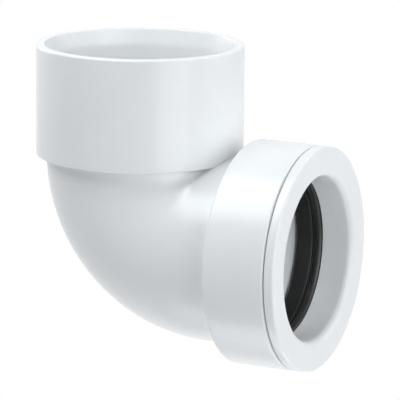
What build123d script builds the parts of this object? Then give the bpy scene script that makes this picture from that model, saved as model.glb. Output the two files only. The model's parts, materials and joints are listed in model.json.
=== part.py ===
from build123d import *
import os

# A waste pipe bend in white moulded plastic. The upper socket takes a pipe with solvent cement, the side
# socket takes a loose tube in a rubber ring seal. A cap pushed into the side socket traps the seal.
#
# Millimetres. The origin is the middle of the pipe stop inside the upper socket. +Z leaves the upper
# socket through its mouth, +X leaves the side socket through its mouth.

# Moulding and waterway
wall = 2.8               # wall of the moulding
waterway_bore = 38.6     # clear way through the bend
bend_radius = 21.1       # middle line of the quarter turn
inlet_straight = 2.4     # pipe stop to the start of the turn
outlet_straight = 8.2    # end of the turn to the back of the side collar
bore_edge = 0.4          # rounding where the waterway opens into a socket

# Upper socket, solvent welded
pipe_diameter = 43.0
weld_clearance = 0.2     # radial room for the solvent cement
socket_depth = 23.3      # rim to pipe stop
stop_ledge = 2.95        # collar below the pipe stop
lead_in_depth = 3.8      # taper that guides the pipe in
lead_in_rise = 0.9       # radial opening of the taper at the rim
lead_in_blend = 5.0      # rounding where the taper runs into the bore
rim_edge = 0.5
rim_inner_edge = 0.2
collar_edge = 0.4

# Side socket, ring seal
seal_pocket_bore = 47.1
spigot_reach = 5.1       # how far the cap goes into the collar
side_collar_edge = 0.5
side_root = 1.0          # inside corner where the side collar stands on the outlet
pocket_mouth_edge = 0.3

# Snap ring on the cap and its groove in the collar, the same trapezium on both
snap_height = 0.5
snap_base = 2.0
snap_crest = 0.9

# Lip seal
seal_width = 7.05        # along the socket, from its seat to the cap
seal_clearance = 0.1     # radial, to the pocket
seal_edge = 0.4
bead_bore = 37.6         # wiper bead next to the cap
bead_width = 1.8
bead_round = 0.7
groove_depth = 0.55      # groove between the bead and the lip
groove_width = 0.6
groove_round = 0.2
lip_start_bore = 37.2    # ridge where the lip begins
lip_bore = 35.2          # tip of the lip
lip_setback = 0.6        # tip of the lip to the seat
lip_tip = 1.1            # thickness of the tip
lip_tip_round = 0.5
foot_height = 2.0        # rubber behind the lip, on the seat
notch_depth = 3.4        # slot between the lip and the foot
notch_round = 0.4
notch_height = 0.9       # height of the slot's floor

# Cap
tube_diameter = 38.1
tube_clearance = 0.15    # radial, tube in the cap
cap_clearance = 0.1      # radial, cap in the collar
cap_gap = 0.4            # open joint between the collar and the cap
flange_thickness = 2.3
mouth_round = 1.65
flange_front_edge = 0.55
flange_back_edge = 0.25
spigot_edge = 0.3

# Radii and places worked out from the sizes above
waterway_r = waterway_bore / 2
skin_r = waterway_r + wall
socket_r = pipe_diameter / 2 + weld_clearance
socket_collar_r = socket_r + wall
pocket_r = seal_pocket_bore / 2
side_collar_r = pocket_r + wall
turn_z = -inlet_straight
outlet_z = turn_z - bend_radius
side_back_x = bend_radius + outlet_straight
seat_x = side_back_x + wall
seal_front_x = seat_x + seal_width
side_end_x = seal_front_x + spigot_reach
flange_back_x = side_end_x + cap_gap
flange_front_x = flange_back_x + flange_thickness
snap_x = seal_front_x + spigot_reach / 2

outlet = Pos(0, 0, outlet_z)


def spun(axis, corners):
    """Solid spun about an axis from its half section, a ring of corners (x, z, corner radius)."""
    points = [(x, z) for x, z, _ in corners]
    radii = [corner_radius for _, _, corner_radius in corners]
    section = make_face(FilletPolyline(*points, radius=radii, close=True))
    return revolve(Plane.XZ * section, axis=axis)


def quarter_turn(radius):
    """Round bar bent a quarter turn, cut off where it would pass the axis that it turns about."""
    keep_back = Rectangle(bend_radius + 2 * radius, 3 * radius, align=(Align.MAX, Align.CENTER))
    section = Circle(radius) & (Pos(bend_radius, 0) * keep_back)
    turn_axis = Axis((bend_radius, 0, turn_z), (0, -1, 0))
    return revolve(Pos(0, 0, turn_z) * section, axis=turn_axis, revolution_arc=90)


def snap_corners(radius):
    """Trapezium that stands on a cylinder about the outlet, from its mouth side to its seat side."""
    return [
        (snap_x + snap_base / 2, radius, 0),
        (snap_x + snap_crest / 2, radius + snap_height, 0),
        (snap_x - snap_crest / 2, radius + snap_height, 0),
        (snap_x - snap_base / 2, radius, 0),
    ]


def make_elbow_body():
    """Both sockets and the turn between them, one moulding with one wall."""
    upper_socket = spun(Axis.Z, [
        (0, -stop_ledge, 0),
        (0, 0, 0),
        (socket_r, 0, 0),
        (socket_r, socket_depth - lead_in_depth, lead_in_blend),
        (socket_r + lead_in_rise, socket_depth, rim_inner_edge),
        (socket_collar_r, socket_depth, rim_edge),
        (socket_collar_r, -stop_ledge, collar_edge),
    ])
    side_socket = outlet * spun(Axis.X, [
        (bend_radius, 0, 0),
        (bend_radius, skin_r, 0),
        (side_back_x, skin_r, side_root),
        (side_back_x, side_collar_r, side_collar_edge),
        (side_end_x, side_collar_r, pocket_mouth_edge),
        (side_end_x, pocket_r, pocket_mouth_edge),
        *snap_corners(pocket_r),
        (seat_x, pocket_r, 0),
        (seat_x, 0, 0),
    ])
    inlet_skin = spun(Axis.Z, [
        (0, turn_z, 0),
        (0, 0, 0),
        (skin_r, 0, 0),
        (skin_r, turn_z, 0),
    ])
    moulding = upper_socket + inlet_skin + quarter_turn(skin_r) + side_socket
    for stretch in waterway_stretches():
        moulding -= stretch
    return moulding


def waterway_stretches():
    """Clear way from the pipe stop round the turn to the seal's seat, flared where it meets each socket."""
    inlet = spun(Axis.Z, [
        (0, turn_z, 0),
        (0, wall, 0),
        (socket_r, wall, 0),
        (socket_r, 0, 0),
        (waterway_r, 0, bore_edge),
        (waterway_r, turn_z, 0),
    ])
    outflow = outlet * spun(Axis.X, [
        (bend_radius, 0, 0),
        (bend_radius, waterway_r, 0),
        (seat_x, waterway_r, bore_edge),
        (seat_x, pocket_r, 0),
        (seat_x + wall, pocket_r, 0),
        (seat_x + wall, 0, 0),
    ])
    return inlet, quarter_turn(waterway_r), outflow


def make_seal_ring():
    """Lip seal with a wiper bead, a groove and a lip that points into the bend."""
    outer_r = pocket_r - seal_clearance
    bead_r = bead_bore / 2
    bead_back_x = seal_front_x - bead_width
    lip_start_x = bead_back_x - groove_width
    lip_x = seat_x + lip_setback
    foot_r = outer_r - foot_height
    notch_x = seat_x + notch_depth
    bead_corner = min(bead_round, bead_width / 2)
    groove_corner = min(groove_round, groove_depth / 2, groove_width / 2)
    bead_back_corner = groove_depth - groove_corner
    return outlet * spun(Axis.X, [
        (seal_front_x, outer_r, seal_edge),
        (seal_front_x, bead_r, bead_corner),
        (bead_back_x, bead_r, bead_back_corner),
        (bead_back_x, bead_r + groove_depth, groove_corner),
        (lip_start_x, bead_r + groove_depth, groove_corner),
        (lip_start_x, lip_start_bore / 2, groove_corner),
        (lip_x, lip_bore / 2, lip_tip_round),
        (lip_x, lip_bore / 2 + lip_tip, lip_tip_round),
        (notch_x, foot_r - notch_height, notch_round),
        (notch_x, foot_r, notch_round),
        (seat_x, foot_r, seal_edge),
        (seat_x, outer_r, seal_edge),
    ])


def make_retaining_cap():
    """Flanged bush with a rounded mouth, whose spigot snaps into the side collar."""
    cap_bore_r = tube_diameter / 2 + tube_clearance
    spigot_r = pocket_r - cap_clearance
    return outlet * spun(Axis.X, [
        (flange_front_x, side_collar_r, flange_front_edge),
        (flange_front_x, cap_bore_r, mouth_round),
        (seal_front_x, cap_bore_r, spigot_edge),
        (seal_front_x, spigot_r, spigot_edge),
        *reversed(snap_corners(spigot_r)),
        (flange_back_x, spigot_r, 0),
        (flange_back_x, side_collar_r, flange_back_edge),
    ])


nodes = {
    "elbow_body": make_elbow_body(),
    "seal_ring": make_seal_ring(),
    "retaining_cap": make_retaining_cap(),
}

os.makedirs("parts", exist_ok=True)
for node, solid in nodes.items():
    export_step(solid, f"parts/{node}.step")
    print(node, round(solid.volume / 1000, 3), "cm3", solid.bounding_box().size)
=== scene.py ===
# %% [markdown]
# # A waste pipe bend in white plastic
# The object is a right-angle fitting for a waste pipe. Its upper socket takes a pipe with solvent cement.
# Its side socket holds a black rubber lip seal behind a pressed-in cap, and takes a loose tube.
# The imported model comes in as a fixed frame, in metres, and each piece is then made again as a finer mesh
# with its own finish, in the same place.

import json
import math

import bmesh
import bpy
from mathutils import Matrix, Vector


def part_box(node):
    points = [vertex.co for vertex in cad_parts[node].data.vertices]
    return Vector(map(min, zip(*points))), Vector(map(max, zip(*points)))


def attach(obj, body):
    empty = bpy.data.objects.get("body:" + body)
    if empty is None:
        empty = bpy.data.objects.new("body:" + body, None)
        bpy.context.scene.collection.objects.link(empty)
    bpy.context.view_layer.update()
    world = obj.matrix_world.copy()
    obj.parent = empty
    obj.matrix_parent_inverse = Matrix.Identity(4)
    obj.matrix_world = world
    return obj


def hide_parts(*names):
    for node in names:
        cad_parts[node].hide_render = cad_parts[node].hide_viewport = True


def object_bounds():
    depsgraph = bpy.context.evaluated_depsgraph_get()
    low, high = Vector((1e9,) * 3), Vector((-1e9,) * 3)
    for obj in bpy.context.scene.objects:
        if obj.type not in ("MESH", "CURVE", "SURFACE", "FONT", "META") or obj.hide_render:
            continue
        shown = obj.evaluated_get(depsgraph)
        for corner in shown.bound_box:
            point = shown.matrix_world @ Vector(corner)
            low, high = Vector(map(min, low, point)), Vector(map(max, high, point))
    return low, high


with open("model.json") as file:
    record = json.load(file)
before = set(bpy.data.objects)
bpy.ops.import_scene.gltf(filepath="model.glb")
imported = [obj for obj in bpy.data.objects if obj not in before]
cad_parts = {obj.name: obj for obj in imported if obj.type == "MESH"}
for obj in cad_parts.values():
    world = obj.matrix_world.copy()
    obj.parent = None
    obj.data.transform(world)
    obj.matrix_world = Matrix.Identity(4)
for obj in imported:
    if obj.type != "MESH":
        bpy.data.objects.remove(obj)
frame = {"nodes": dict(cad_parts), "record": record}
cad_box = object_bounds()
print("nodes in the frame:", sorted(frame["nodes"]))

# %% [markdown]
# ## Sizes
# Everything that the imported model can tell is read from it: the boxes of its nodes and the two bores that
# the record states as mounts. Only the sizes that lie inside a box, such as edge radii, are written here.

# %% Read the main sizes from the frame
mm = 0.001

mounts = {mount["name"]: mount for mount in frame["record"]["mounts"]}
body_low, body_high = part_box("elbow_body")
seal_low, seal_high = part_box("seal_ring")
cap_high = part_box("retaining_cap")[1]

# The upper socket stands on +Z, with the pipe stop at the origin.
socket_r = mounts["solvent_socket"]["dims"]["r_mm"] * mm
collar_r = -body_low.x
wall = collar_r - socket_r
rim_z = body_high.z

# The side socket lies along +X, on its own middle line.
outlet_z = mounts["ring_seal_socket"]["pos_m"][2]
side_collar_r = body_high.y
pocket_r = side_collar_r - wall
side_end_x = body_high.x
seat_x = seal_low.x
seal_front_x = seal_high.x
seal_r = seal_high.y
cap_bore_r = mounts["ring_seal_socket"]["dims"]["r_mm"] * mm
flange_front_x = cap_high.x

# The turn joins the two middle lines. Its start follows from its radius.
bend_r = 21.1 * mm
turn_z = outlet_z + bend_r
waterway_r = 19.3 * mm
skin_r = waterway_r + wall
print(f"wall {wall / mm:.2f} mm, turn starts at z {turn_z / mm:.2f} mm")

# %% [markdown]
# ## One bent middle line
# All three pieces are turned sections on one middle line that runs down the upper socket, round the turn
# and out of the side socket. A lathe profile and a bend would make each of them, and a boolean could join
# the parts. Here one rule does it all: a section is a ring of stations, each a place on the middle line and
# a distance from it, and a Geometry Nodes tree carries each station round the line. The walls then run on
# through the turn with even faces and no seams.

# %% Draw a section as stations on the middle line
run_spacing = 0.8 * mm
arc_step = math.radians(9)
turn_steps = 52


def rounded(corners):
    """Points along a line of corners (along, out, corner radius). Its two ends stay as they are."""
    points = [Vector(corners[0][:2])]
    for before, corner, after in zip(corners, corners[1:], corners[2:]):
        here = Vector(corner[:2])
        back = (Vector(before[:2]) - here).normalized()
        ahead = (Vector(after[:2]) - here).normalized()
        half = back.angle(ahead) / 2
        reach = corner[2] / math.tan(half)
        centre = here + (back + ahead).normalized() * corner[2] / math.sin(half)
        first = here + back * reach - centre
        last = here + ahead * reach - centre
        steps = math.ceil((math.pi - 2 * half) / arc_step) if corner[2] else 0
        turn = first.angle_signed(last) if corner[2] else 0
        for step in range(steps + 1):
            share = step / steps if steps else 0
            points.append(centre + Matrix.Rotation(-turn * share, 2) @ first)
    points.append(Vector(corners[-1][:2]))
    return points


def spaced(points):
    """The same line with its long straight stretches divided evenly."""
    divided = []
    for start, end in zip(points, points[1:]):
        parts = max(1, math.ceil((end - start).length / run_spacing))
        divided += [start.lerp(end, part / parts) for part in range(parts)]
    return divided + points[-1:]


def inlet_run(corners):
    """Stations on the upper leg, from corners (z, radius, corner radius)."""
    return [(0, 0, z - turn_z, r) for z, r in spaced(rounded(corners))]


def outlet_run(corners):
    """Stations on the side leg, from corners (x, radius, corner radius)."""
    return [(x - bend_r, 1, 0, r) for x, r in spaced(rounded(corners))]


def turn_run(radius, outwards):
    """Stations round the turn at one radius, without the two at its ends."""
    shares = [step / turn_steps for step in range(1, turn_steps)]
    return [(0, share, 0, radius) for share in (shares if outwards else reversed(shares))]


# %% [markdown]
# ## The tree that carries a section round the line
# A station is stored as a vertex: X is how far it lies past the end of the turn, Z how far above the start
# of the turn, and Y is its share of the turn. Its distance from the middle line is an attribute named
# radius. The tree is built in four steps, each with a function of its own.

# %% One small function that adds a node
def add_node(tree, kind, inputs=None, **settings):
    """Adds a node, sets its properties, and sets or links its inputs by name or number."""
    node = tree.nodes.new(kind)
    for name, value in settings.items():
        setattr(node, name, value)
    for name, value in (inputs or {}).items():
        if isinstance(value, bpy.types.NodeSocket):
            tree.links.new(value, node.inputs[name])
        else:
            node.inputs[name].default_value = value
    return node


# %% [markdown]
# The first step lays a flat grid with one column for each segment of the ring and one row for each station.
# One more of each brings the grid back to where it began, so that it can be closed later. Each grid point
# then looks up what its station says.

# %% Lay the grid and read the stations
def lay_grid(tree, given):
    """Grid of segments by stations, and for each of its points the column and the station."""
    size = add_node(
        tree, "GeometryNodeAttributeDomainSize", {"Geometry": given["Stations"]}, component="MESH"
    )
    count = size.outputs["Point Count"]
    rows = add_node(tree, "FunctionNodeIntegerMath", {0: count, 1: 1}, operation="ADD").outputs[0]
    columns = add_node(
        tree, "FunctionNodeIntegerMath", {0: given["Segments"], 1: 1}, operation="ADD"
    ).outputs[0]
    grid = add_node(tree, "GeometryNodeMeshGrid", {"Vertices X": columns, "Vertices Y": rows}).outputs["Mesh"]
    index = add_node(tree, "GeometryNodeInputIndex").outputs[0]
    column = add_node(tree, "FunctionNodeIntegerMath", {0: index, 1: rows}, operation="DIVIDE").outputs[0]
    row = add_node(tree, "FunctionNodeIntegerMath", {0: index, 1: rows}, operation="MODULO").outputs[0]
    station = add_node(tree, "FunctionNodeIntegerMath", {0: row, 1: count}, operation="MODULO").outputs[0]
    return grid, column, station


def read_station(tree, given, station):
    """The station's place along the middle line, in three parts, and its distance from that line."""
    position = add_node(tree, "GeometryNodeInputPosition").outputs[0]
    place = add_node(
        tree, "GeometryNodeSampleIndex",
        {"Geometry": given["Stations"], "Value": position, "Index": station},
        data_type="FLOAT_VECTOR",
    ).outputs[0]
    parts = add_node(tree, "ShaderNodeSeparateXYZ", {0: place}).outputs
    attribute = add_node(tree, "GeometryNodeInputNamedAttribute", {"Name": "radius"}).outputs[0]
    radius = add_node(
        tree, "GeometryNodeSampleIndex",
        {"Geometry": given["Stations"], "Value": attribute, "Index": station},
        data_type="FLOAT",
    ).outputs[0]
    return parts, radius


# %% [markdown]
# The next step works out where each grid point lies on the bent line. The elbow's outer wall is wider than
# the turn, so it would pass the axis that it turns about: inside the turn it stops at that axis.

# %% Work out each point's place
def bent_place(tree, given, column, parts, radius):
    """Place of a point on its ring, swung round the turn and moved along its leg."""
    # On its ring: sideways along Y, and inwards to the axis of the turn.
    share = add_node(tree, "ShaderNodeMath", {0: column, 1: given["Segments"]}, operation="DIVIDE").outputs[0]
    angle = add_node(tree, "ShaderNodeMath", {0: share, 1: math.tau}, operation="MULTIPLY").outputs[0]
    sine = add_node(tree, "ShaderNodeMath", {0: angle}, operation="SINE").outputs[0]
    cosine = add_node(tree, "ShaderNodeMath", {0: angle}, operation="COSINE").outputs[0]
    sideways = add_node(tree, "ShaderNodeMath", {0: radius, 1: sine}, operation="MULTIPLY").outputs[0]
    inwards = add_node(tree, "ShaderNodeMath", {0: radius, 1: cosine}, operation="MULTIPLY").outputs[0]

    # Its distance from that axis, which is never less than nothing while the station is inside the turn.
    free = add_node(
        tree, "ShaderNodeMath", {0: given["Bend Radius"], 1: inwards}, operation="SUBTRACT"
    ).outputs[0]
    stopped = add_node(tree, "ShaderNodeMath", {0: free, 1: 0.0}, operation="MAXIMUM").outputs[0]
    rest = add_node(tree, "ShaderNodeMath", {0: 1.0, 1: parts["Y"]}, operation="SUBTRACT").outputs[0]
    both = add_node(tree, "ShaderNodeMath", {0: parts["Y"], 1: rest}, operation="MULTIPLY").outputs[0]
    turning = add_node(
        tree, "FunctionNodeCompare", {"A": both, "B": 0.0}, operation="GREATER_THAN"
    ).outputs[0]
    swing = add_node(
        tree, "GeometryNodeSwitch", {"Switch": turning, "False": free, "True": stopped}, input_type="FLOAT"
    ).outputs[0]

    # Swing it round the axis, and move it along the leg that the station lies on.
    bend = add_node(tree, "ShaderNodeMath", {0: parts["Y"], 1: math.pi / 2}, operation="MULTIPLY").outputs[0]
    bend_sine = add_node(tree, "ShaderNodeMath", {0: bend}, operation="SINE").outputs[0]
    bend_cosine = add_node(tree, "ShaderNodeMath", {0: bend}, operation="COSINE").outputs[0]
    across = add_node(tree, "ShaderNodeMath", {0: swing, 1: bend_cosine}, operation="MULTIPLY").outputs[0]
    down = add_node(tree, "ShaderNodeMath", {0: swing, 1: bend_sine}, operation="MULTIPLY").outputs[0]
    turn_x = add_node(
        tree, "ShaderNodeMath", {0: given["Bend Radius"], 1: across}, operation="SUBTRACT"
    ).outputs[0]
    turn_down = add_node(
        tree, "ShaderNodeMath", {0: given["Turn Start Z"], 1: down}, operation="SUBTRACT"
    ).outputs[0]
    x = add_node(tree, "ShaderNodeMath", {0: turn_x, 1: parts["X"]}, operation="ADD").outputs[0]
    z = add_node(tree, "ShaderNodeMath", {0: turn_down, 1: parts["Z"]}, operation="ADD").outputs[0]
    return add_node(tree, "ShaderNodeCombineXYZ", {"X": x, "Y": sideways, "Z": z}).outputs[0]


# %% [markdown]
# The last step moves the grid to those places and welds its ends together. Where the elbow's outer wall
# stops at the axis it overlaps itself, and a boolean union of the mesh with itself takes away what then lies
# inside. The faces are smooth, and an edge with a sharp angle stays sharp.

# %% Close, unite and smooth the mesh
weld_distance = 1e-7
sharp_angle = math.radians(40)


def closed_piece(tree, given, grid, place):
    """The grid as a closed mesh with its material."""
    laid = add_node(tree, "GeometryNodeSetPosition", {"Geometry": grid, "Position": place}).outputs[0]
    closed = add_node(
        tree, "GeometryNodeMergeByDistance", {"Geometry": laid, "Distance": weld_distance}
    ).outputs[0]
    united = add_node(
        tree, "GeometryNodeMeshBoolean", {"Mesh 2": closed, "Self Intersection": True},
        operation="UNION", solver="EXACT",
    ).outputs[0]
    solid = add_node(
        tree, "GeometryNodeSwitch", {"Switch": given["Unite"], "False": closed, "True": united},
        input_type="GEOMETRY",
    ).outputs[0]
    smooth = add_node(
        tree, "GeometryNodeSetShadeSmooth", {"Geometry": solid, "Shade Smooth": True}
    ).outputs[0]
    edge_angle = add_node(tree, "GeometryNodeInputMeshEdgeAngle").outputs["Unsigned Angle"]
    sharp = add_node(
        tree, "FunctionNodeCompare", {"A": edge_angle, "B": sharp_angle}, operation="GREATER_THAN"
    ).outputs[0]
    edged = add_node(
        tree, "GeometryNodeSetShadeSmooth",
        {"Geometry": smooth, "Selection": sharp, "Shade Smooth": False},
        domain="EDGE",
    ).outputs[0]
    real = add_node(tree, "GeometryNodeRealizeInstances", {"Geometry": edged}).outputs[0]
    return add_node(
        tree, "GeometryNodeSetMaterial", {"Geometry": real, "Material": given["Material"]}
    ).outputs[0]


# %% Build the tree from these steps
tree_inputs = {
    "Stations": "NodeSocketGeometry",
    "Segments": "NodeSocketInt",
    "Bend Radius": "NodeSocketFloat",
    "Turn Start Z": "NodeSocketFloat",
    "Unite": "NodeSocketBool",
    "Material": "NodeSocketMaterial",
}


def build_turned_tree():
    """Geometry Nodes tree: carries a ring of stations round the bent middle line."""
    tree = bpy.data.node_groups.new("Turned on a bent line", "GeometryNodeTree")
    for name, kind in tree_inputs.items():
        tree.interface.new_socket(name, in_out="INPUT", socket_type=kind)
    tree.interface.new_socket("Piece", in_out="OUTPUT", socket_type="NodeSocketGeometry")

    given = add_node(tree, "NodeGroupInput").outputs
    grid, column, station = lay_grid(tree, given)
    parts, radius = read_station(tree, given, station)
    place = bent_place(tree, given, column, parts, radius)
    add_node(tree, "NodeGroupOutput", {"Piece": closed_piece(tree, given, grid, place)})
    return tree


turned_tree = build_turned_tree()
print("tree with", len(turned_tree.nodes), "nodes")

# %% [markdown]
# ## From stations to a piece
# The stations become the vertices of a small mesh, the tree turns them into the piece, and the evaluated
# result is kept as a plain mesh, with the modifier removed.

# %% Make a piece from its stations
def make_piece(name, stations, segments, material, unite=False):
    """Object whose mesh is the ring of stations carried round the middle line."""
    mesh = bpy.data.meshes.new(name)
    mesh.from_pydata([station[:3] for station in stations], [], [])
    radius = mesh.attributes.new("radius", "FLOAT", "POINT")
    radius.data.foreach_set("value", [station[3] for station in stations])
    piece = bpy.data.objects.new(name, mesh)
    bpy.context.scene.collection.objects.link(piece)

    values = {
        "Segments": segments,
        "Bend Radius": bend_r,
        "Turn Start Z": turn_z,
        "Unite": unite,
        "Material": material,
    }
    modifier = piece.modifiers.new("Turned", "NODES")
    modifier.node_group = turned_tree
    for socket in turned_tree.interface.items_tree:
        if socket.in_out == "INPUT" and socket.name in values:
            modifier[socket.identifier] = values[socket.name]

    depsgraph = bpy.context.evaluated_depsgraph_get()
    piece.data = bpy.data.meshes.new_from_object(piece.evaluated_get(depsgraph), depsgraph=depsgraph)
    piece.modifiers.clear()
    print(name, len(stations), "stations,", len(piece.data.polygons), "faces")
    return piece


# %% [markdown]
# ## Finishes
# ABS is the white plastic of such fittings. It is moulded against polished steel, so it is half glossy, and
# the flow of the melt leaves the surface very slightly uneven.

# %% Colours and the white plastic
flow_size = 14 * mm
ripple_size = 11 * mm
ripple_depth = 0.03 * mm


def linear(hex_colour):
    """Linear RGBA from an sRGB hex colour."""
    channels = [int(hex_colour[i:i + 2], 16) / 255 for i in (1, 3, 5)]
    return [c / 12.92 if c <= 0.04045 else ((c + 0.055) / 1.055) ** 2.4 for c in channels] + [1.0]


def new_material(name):
    """New material with an empty node tree, and that tree."""
    material = bpy.data.materials.new(name)
    material.use_nodes = True
    material.node_tree.nodes.clear()
    return material, material.node_tree


def moulded_abs():
    """White ABS from a polished mould: half glossy, with slow changes of tint and gloss."""
    material, tree = new_material("moulded_white_abs")
    place = add_node(tree, "ShaderNodeTexCoord").outputs["Object"]
    flow = add_node(tree, "ShaderNodeTexNoise", {"Vector": place, "Scale": 1 / flow_size, "Detail": 3.0})
    tint = add_node(tree, "ShaderNodeValToRGB", {"Fac": flow.outputs["Fac"]})
    tint.color_ramp.elements[0].position = 0.3
    tint.color_ramp.elements[0].color = linear("#f5f6f6")
    tint.color_ramp.elements[1].position = 0.7
    tint.color_ramp.elements[1].color = linear("#f8f9f9")
    gloss = add_node(
        tree, "ShaderNodeMapRange", {"Value": flow.outputs["Fac"], "To Min": 0.22, "To Max": 0.27}
    )
    ripple = add_node(tree, "ShaderNodeTexNoise", {"Vector": place, "Scale": 1 / ripple_size, "Detail": 1.0})
    bump = add_node(
        tree, "ShaderNodeBump", {"Height": ripple.outputs["Fac"], "Distance": ripple_depth, "Strength": 0.4}
    )
    shader = add_node(tree, "ShaderNodeBsdfPrincipled", {
        "Base Color": tint.outputs["Color"],
        "Roughness": gloss.outputs["Result"],
        "IOR": 1.53,
        "Normal": bump.outputs["Normal"],
    })
    add_node(tree, "ShaderNodeOutputMaterial", {"Surface": shader.outputs["BSDF"]})
    return material


white_abs = moulded_abs()
print("material", white_abs.name)

# %% [markdown]
# The seal is moulded black rubber. Fresh from its mould it is satin, a very dark grey, with a fine grain.

# %% The black rubber
bloom_size = 6 * mm
grain_size = 0.4 * mm
grain_depth = 0.01 * mm


def moulded_rubber():
    """Black rubber from a satin mould, with a fine grain and a trace of bloom."""
    material, tree = new_material("moulded_black_rubber")
    place = add_node(tree, "ShaderNodeTexCoord").outputs["Object"]
    bloom = add_node(tree, "ShaderNodeTexNoise", {"Vector": place, "Scale": 1 / bloom_size, "Detail": 4.0})
    tint = add_node(tree, "ShaderNodeValToRGB", {"Fac": bloom.outputs["Fac"]})
    tint.color_ramp.elements[0].position = 0.35
    tint.color_ramp.elements[0].color = linear("#0e0f0f")
    tint.color_ramp.elements[1].position = 0.75
    tint.color_ramp.elements[1].color = linear("#161717")
    gloss = add_node(
        tree, "ShaderNodeMapRange", {"Value": bloom.outputs["Fac"], "To Min": 0.31, "To Max": 0.38}
    )
    grain = add_node(tree, "ShaderNodeTexNoise", {"Vector": place, "Scale": 1 / grain_size, "Detail": 2.0})
    bump = add_node(
        tree, "ShaderNodeBump", {"Height": grain.outputs["Fac"], "Distance": grain_depth, "Strength": 0.6}
    )
    shader = add_node(tree, "ShaderNodeBsdfPrincipled", {
        "Base Color": tint.outputs["Color"],
        "Roughness": gloss.outputs["Result"],
        "IOR": 1.52,
        "Normal": bump.outputs["Normal"],
    })
    add_node(tree, "ShaderNodeOutputMaterial", {"Surface": shader.outputs["BSDF"]})
    return material


black_rubber = moulded_rubber()
print("material", black_rubber.name)

# %% [markdown]
# ## The elbow body
# One moulding with one wall. Its section is a single closed ring of stations: up the outside of the upper
# collar, over the rim, down the bore to the pipe stop, through the turn, out into the side socket, back
# along the outside of the side collar and round the outside of the turn.

# %% Sizes of the elbow body
wide_segments = 224

collar_floor_z = -2.95 * mm
collar_edge = 0.4 * mm
rim_edge = 0.5 * mm
rim_inner_edge = 0.2 * mm
lead_in_depth = 3.8 * mm
lead_in_rise = 0.9 * mm
lead_in_blend = 5.0 * mm
inner_corner = 0.2 * mm
bore_edge = 0.4 * mm

side_back_x = seat_x - wall
pocket_mouth_edge = 0.3 * mm
side_end_edge = 0.45 * mm
side_collar_edge = 0.5 * mm
side_root = 1.0 * mm

snap_x = (seal_front_x + side_end_x) / 2
snap_height = 0.5 * mm
snap_base = 2.0 * mm
snap_crest = 0.9 * mm


# %% The elbow body
def snap_corners(radius):
    """Trapezium of the snap ring on a cylinder, from its seat side to its mouth side."""
    return [
        (snap_x - snap_base / 2, radius, 0),
        (snap_x - snap_crest / 2, radius + snap_height, 0),
        (snap_x + snap_crest / 2, radius + snap_height, 0),
        (snap_x + snap_base / 2, radius, 0),
    ]


upper_leg = inlet_run([
    (collar_floor_z, skin_r, 0),
    (collar_floor_z, collar_r, collar_edge),
    (rim_z, collar_r, rim_edge),
    (rim_z, socket_r + lead_in_rise, rim_inner_edge),
    (rim_z - lead_in_depth, socket_r, lead_in_blend),
    (0, socket_r, inner_corner),
    (0, waterway_r, bore_edge),
    (turn_z, waterway_r, 0),
])
side_leg = outlet_run([
    (bend_r, waterway_r, 0),
    (seat_x, waterway_r, bore_edge),
    (seat_x, pocket_r, inner_corner),
    *snap_corners(pocket_r),
    (side_end_x, pocket_r, pocket_mouth_edge),
    (side_end_x, side_collar_r, side_end_edge),
    (side_back_x, side_collar_r, side_collar_edge),
    (side_back_x, skin_r, side_root),
    (bend_r, skin_r, 0),
])
elbow_stations = (
    upper_leg
    + turn_run(waterway_r, outwards=True)
    + side_leg
    + turn_run(skin_r, outwards=False)
)
elbow = make_piece("elbow_moulding", elbow_stations, wide_segments, white_abs, unite=True)

# %% [markdown]
# ## The lip seal
# A rubber ring that sits on the seat of the side socket: a wiper bead next to the cap, a groove, and a lip
# that points into the bend and is smaller than the tube. The front of the bead is well rounded, because
# that is where the seal catches the light.

# %% Sizes of the lip seal
seal_edge = 0.4 * mm
bead_r = 18.8 * mm
bead_width = 1.8 * mm
bead_round = 1.3 * mm
bead_back_round = 0.35 * mm
bead_top = 1.4 * mm
groove_depth = 0.55 * mm
groove_width = 0.6 * mm
groove_round = 0.2 * mm
lip_start_r = 18.6 * mm
lip_r = 17.6 * mm
lip_setback = 0.6 * mm
lip_tip = 1.1 * mm
lip_tip_round = 0.5 * mm
foot_height = 2.0 * mm
notch_depth = 3.4 * mm
notch_height = 0.9 * mm
notch_round = 0.4 * mm

# %% The lip seal
bead_back_x = seal_front_x - bead_width
groove_r = bead_r + groove_depth
lip_start_x = bead_back_x - groove_width
lip_x = seat_x + lip_setback
foot_r = seal_r - foot_height
notch_x = seat_x + notch_depth
notch_r = foot_r - notch_height

seal_corners = [
    (bead_back_x, bead_r, bead_back_round),
    (bead_back_x, groove_r, groove_round),
    (lip_start_x, groove_r, groove_round),
    (lip_start_x, lip_start_r, groove_round),
    (lip_x, lip_r, lip_tip_round),
    (lip_x, lip_r + lip_tip, lip_tip_round),
    (notch_x, notch_r, notch_round),
    (notch_x, foot_r, notch_round),
    (seat_x, foot_r, seal_edge),
    (seat_x, seal_r, seal_edge),
    (seal_front_x, seal_r, seal_edge),
    (seal_front_x, bead_r, bead_round),
]

# The ring of stations begins and ends on the flat top of the bead.
bead_middle = (seal_front_x - bead_top, bead_r, 0)
seal_stations = outlet_run([bead_middle, *seal_corners, bead_middle])[:-1]
seal = make_piece("lip_seal", seal_stations, wide_segments, black_rubber)

# %% [markdown]
# ## The retaining cap
# A flanged bush with a rounded mouth. Its spigot snaps into the side collar, and its flange leaves the thin
# open joint that shows as a dark line round the socket.

# %% The retaining cap
cap_gap = 0.4 * mm
cap_clearance = 0.1 * mm
mouth_round = 1.65 * mm
spigot_inner_edge = 0.1 * mm
spigot_outer_edge = 0.3 * mm
flange_back_edge = 0.25 * mm
flange_front_edge = 0.55 * mm
flange_back_x = side_end_x + cap_gap
spigot_r = pocket_r - cap_clearance

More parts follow.
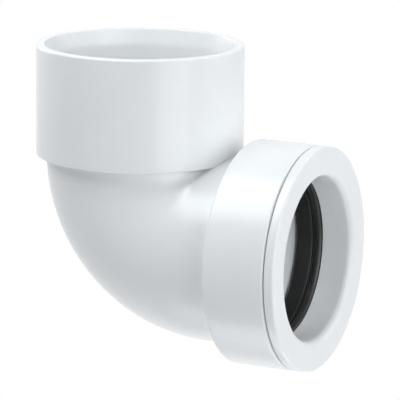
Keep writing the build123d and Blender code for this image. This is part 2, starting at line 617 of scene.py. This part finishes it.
cap_corners = [
    (flange_front_x, cap_bore_r, mouth_round),
    (seal_front_x, cap_bore_r, spigot_inner_edge),
    (seal_front_x, spigot_r, spigot_outer_edge),
    *snap_corners(spigot_r),
    (flange_back_x, spigot_r, 0),
    (flange_back_x, side_collar_r, flange_back_edge),
    (flange_front_x, side_collar_r, flange_front_edge),
]
face_middle = (flange_front_x, (cap_bore_r + side_collar_r) / 2, 0)
cap_stations = outlet_run([face_middle, *cap_corners, face_middle])[:-1]
cap = make_piece("socket_cap", cap_stations, wide_segments, white_abs)

# %% [markdown]
# ## Which way the faces point
# A closed mesh whose volume comes out negative has its faces turned inwards.

# %% Measure each piece's volume and turn inside-out meshes
cubic_cm = 1e-6

for piece in (elbow, seal, cap):
    shape = bmesh.new()
    shape.from_mesh(piece.data)
    volume = shape.calc_volume(signed=True)
    if volume < 0:
        bmesh.ops.reverse_faces(shape, faces=shape.faces)
        shape.to_mesh(piece.data)
    open_edges = sum(not edge.is_manifold for edge in shape.edges)
    print(piece.name, f"{volume / cubic_cm:.3f} cm3,", open_edges, "edges that are not closed")
    shape.free()

# %% [markdown]
# ## Floor, light and camera
# A small white stage: a pale floor well below the held fitting, a white surround and soft lamps.

# %% The floor
floor_drop = 620 * mm
floor_r = 420 * mm
floor_segments = 96
paper_size = 90 * mm


def make_floor():
    """Pale matt disc below the object."""
    material, tree = new_material("pale_floor")
    place = add_node(tree, "ShaderNodeTexCoord").outputs["Object"]
    paper = add_node(tree, "ShaderNodeTexNoise", {"Vector": place, "Scale": 1 / paper_size, "Detail": 2.0})
    tint = add_node(tree, "ShaderNodeValToRGB", {"Fac": paper.outputs["Fac"]})
    tint.color_ramp.elements[0].color = linear("#f4f4f4")
    tint.color_ramp.elements[1].color = linear("#f8f8f8")
    shader = add_node(tree, "ShaderNodeBsdfDiffuse", {"Color": tint.outputs["Color"]})
    add_node(tree, "ShaderNodeOutputMaterial", {"Surface": shader.outputs["BSDF"]})

    mesh = bpy.data.meshes.new("floor")
    disc = bmesh.new()
    bmesh.ops.create_circle(disc, cap_ends=True, segments=floor_segments, radius=floor_r)
    bmesh.ops.translate(disc, vec=(bend_r, 0, body_low.z - floor_drop), verts=disc.verts)
    disc.to_mesh(mesh)
    disc.free()
    mesh.materials.append(material)
    floor = bpy.data.objects.new("floor", mesh)
    bpy.context.scene.collection.objects.link(floor)
    return floor


floor = make_floor()
print("floor", floor_drop / mm, "mm below the fitting")

# %% [markdown]
# The surround is white to the camera and in reflections. What it sheds on the object is weaker and, like the
# lamps' light, a slightly cool white.

# %% The white surround
cool_white = linear("#f7fbff")
surround_level = 0.22


def make_surround():
    """White for what the camera and reflections see, and a plain level of light for the rest."""
    world = bpy.data.worlds.new("white_surround")
    world.use_nodes = True
    tree = world.node_tree
    tree.nodes.clear()
    path = add_node(tree, "ShaderNodeLightPath").outputs
    direct = add_node(
        tree, "ShaderNodeMath", {0: path["Is Camera Ray"], 1: path["Is Glossy Ray"]}, operation="MAXIMUM"
    ).outputs[0]
    seen = add_node(
        tree, "ShaderNodeMath", {0: direct, 1: path["Is Transmission Ray"]}, operation="MAXIMUM"
    ).outputs[0]
    light = add_node(tree, "ShaderNodeBackground", {"Color": cool_white, "Strength": surround_level})
    white = add_node(tree, "ShaderNodeBackground", {"Color": linear("#ffffff"), "Strength": 1.0})
    mix = add_node(tree, "ShaderNodeMixShader", {0: seen, 1: light.outputs[0], 2: white.outputs[0]})
    add_node(tree, "ShaderNodeOutputWorld", {"Surface": mix.outputs[0]})
    bpy.context.scene.world = world


make_surround()
print("surround sheds", surround_level, "of white")

# %% [markdown]
# Soft boxes light the fitting. The large one high on the left draws the bright band along the side collar,
# and the tall strip on the right draws the upright band on the upper collar. A wide fill on the right lights
# the cap's face, a light table glows from below, and weaker lamps in front and on the left open up the
# shadows.

# %% The lamps
lamp_distance = 600 * mm
middle = (cad_box[0] + cad_box[1]) / 2

# Name, azimuth and elevation in degrees, width and height in metres, power in watts.
lamps = [
    ("high_left_box", 312, 60, 0.32, 0.50, 2.10),
    ("high_front_strip", -12, 62, 0.10, 0.44, 0.53),
    ("right_strip", 62, 10, 0.38, 0.54, 1.27),
    ("right_fill", 107, 14, 0.90, 0.44, 1.70),
    ("left_box", 258, 17, 0.38, 0.44, 0.86),
    ("low_front_strip", 36, -54, 0.50, 0.14, 0.27),
    ("light_table", -18, -87, 0.44, 0.58, 1.93),
]


def direction(azimuth, elevation):
    """Unit vector away from the fitting. Azimuth 0 is in front, a quarter turn is on the right."""
    return Vector((
        math.sin(azimuth) * math.cos(elevation),
        -math.cos(azimuth) * math.cos(elevation),
        math.sin(elevation),
    ))


def add_lamp(name, azimuth, elevation, width, height, power):
    """Area lamp on a sphere about the fitting, turned towards it."""
    towards = direction(math.radians(azimuth), math.radians(elevation))
    lamp = bpy.data.lights.new(name, "AREA")
    lamp.shape = "RECTANGLE"
    lamp.size = width
    lamp.size_y = height
    lamp.energy = power
    lamp.color = cool_white[:3]
    holder = bpy.data.objects.new(name, lamp)
    holder.location = middle + towards * lamp_distance
    holder.rotation_mode = "QUATERNION"
    holder.rotation_quaternion = towards.to_track_quat("Z", "Y")
    holder.visible_camera = False
    bpy.context.scene.collection.objects.link(holder)


for lamp_values in lamps:
    add_lamp(*lamp_values)
print(len(lamps), "lamps")

# %% [markdown]
# The camera stands where a long lens took the photograph from: to the right of the plane of the bend and a
# little above it.

# %% The camera
camera_azimuth = math.radians(25.93)
camera_elevation = math.radians(12.33)
camera_roll = math.radians(0.60)
camera_distance = 682.3 * mm
camera_target = Vector((15.90 * mm, 0, -12.69 * mm))
camera_lens = 261.4
sensor_width = 36
nearest_seen = 50 * mm

right = Vector((math.cos(camera_azimuth), math.sin(camera_azimuth), 0))
back = direction(camera_azimuth, camera_elevation)
up = back.cross(right)
turned_right = right * math.cos(camera_roll) + up * math.sin(camera_roll)
turned_up = up * math.cos(camera_roll) - right * math.sin(camera_roll)
camera_turn = Matrix((turned_right, turned_up, back)).transposed().to_4x4()

camera = bpy.data.objects.new("camera", bpy.data.cameras.new("camera"))
camera.data.lens = camera_lens
camera.data.sensor_width = sensor_width
camera.data.clip_start = nearest_seen
camera.matrix_world = Matrix.Translation(camera_target + back * camera_distance) @ camera_turn
bpy.context.scene.collection.objects.link(camera)
bpy.context.scene.camera = camera
bpy.context.scene.view_settings.view_transform = "Standard"
print("camera at", [round(v / mm) for v in camera.matrix_world.translation], "mm")

# %% [markdown]
# ## Hand over
# Each finished piece takes the place of its imported node: the node is hidden and the piece is attached to
# the root body.

# %% Replace the nodes and finish
for piece, node, slot in (
    (elbow, "elbow_body", "white_plastic"),
    (seal, "seal_ring", "black_rubber"),
    (cap, "retaining_cap", "white_plastic"),
):
    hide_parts(node)
    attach(piece, "root")
